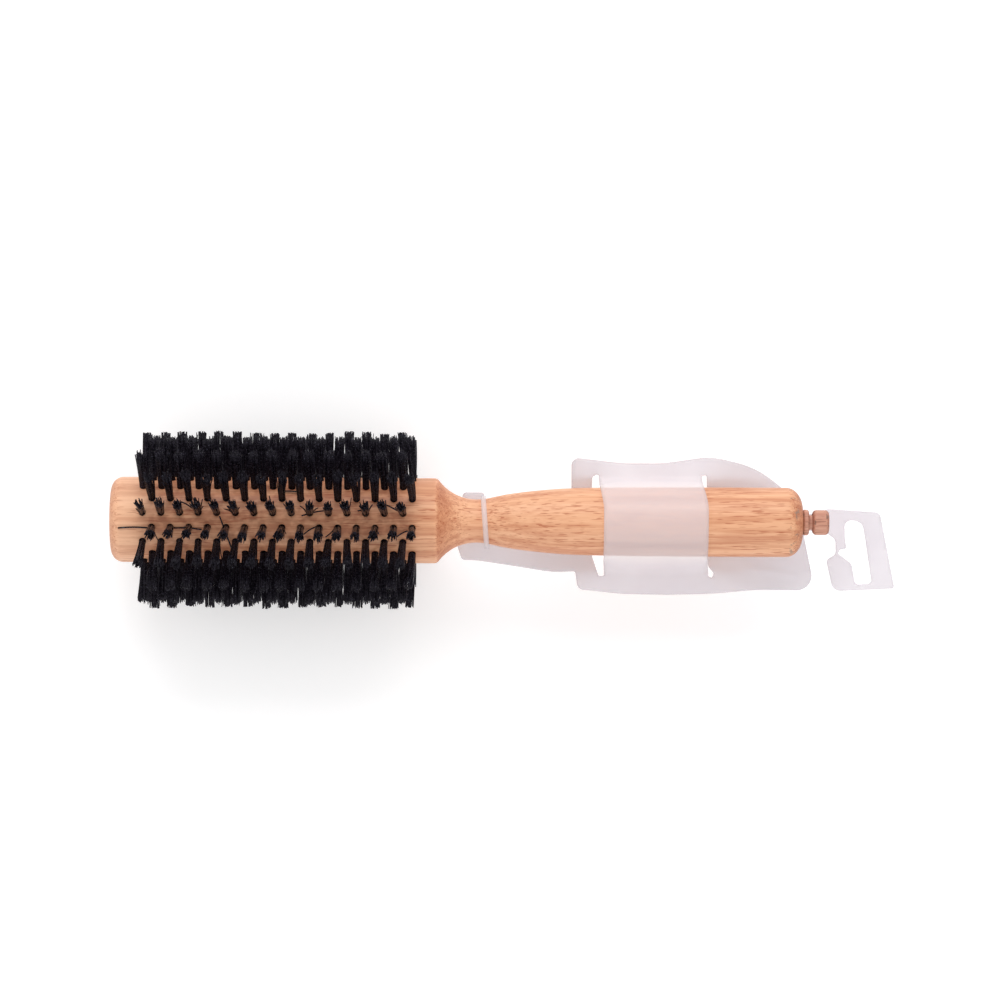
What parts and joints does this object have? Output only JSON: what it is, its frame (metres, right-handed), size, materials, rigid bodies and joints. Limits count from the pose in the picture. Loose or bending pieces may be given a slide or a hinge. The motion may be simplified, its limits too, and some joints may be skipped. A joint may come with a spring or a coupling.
{
  "type": "round barrel hairbrush on a retail hanger",
  "caption": "Round wooden hairbrush with bristle tufts on its barrel, a pull-out sectioning pick in the handle and a clear plastic retail hanger clipped round the handle.",
  "frame": {"origin": "centre of the barrel's flat end face, on the brush's axis", "axes": "+X along the brush's axis from the barrel's end to the handle's end; +Z away from the hanger's back, towards the side where its band crosses the handle; +Y across"},
  "size_m": [0.2619, 0.06, 0.0596],
  "materials": {
    "handle_wood": "pale turned hardwood under a thin satin lacquer",
    "pick_wood": "darker reddish turned wood, unpolished",
    "bristle": "black bristle with a soft sheen",
    "anchor_wire": "flat drawn wire",
    "hanger_plastic": "milky translucent sheet plastic"
  },
  "bodies": {
    "brush": {"brush_body": "handle_wood", "tuft_row_01": "bristle", "tuft_row_02": "bristle", "tuft_row_03": "bristle", "tuft_row_04": "bristle", "tuft_row_05": "bristle", "tuft_row_06": "bristle", "tuft_row_07": "bristle", "tuft_row_08": "bristle", "tuft_row_09": "bristle", "tuft_row_10": "bristle", "tuft_row_11": "bristle", "tuft_row_12": "bristle", "tuft_row_13": "bristle", "tuft_row_14": "bristle", "tuft_row_15": "bristle", "tuft_row_16": "bristle", "tuft_row_17": "bristle", "tuft_row_18": "bristle", "tuft_anchors": "anchor_wire"},
    "pick": {"sectioning_pick": "pick_wood"},
    "hanger": {"hanger": "hanger_plastic"}
  },
  "joints": [
    {"name": "pick_slide", "type": "slide", "parent": "brush", "child": "pick", "axis": [1, 0, 0], "range_m": [0, 0.072]},
    {"name": "hanger_swivel", "type": "hinge", "parent": "brush", "child": "hanger", "pos_m": [0.18, 0, 0], "axis": [1, 0, 0], "continuous": true}
  ]
}
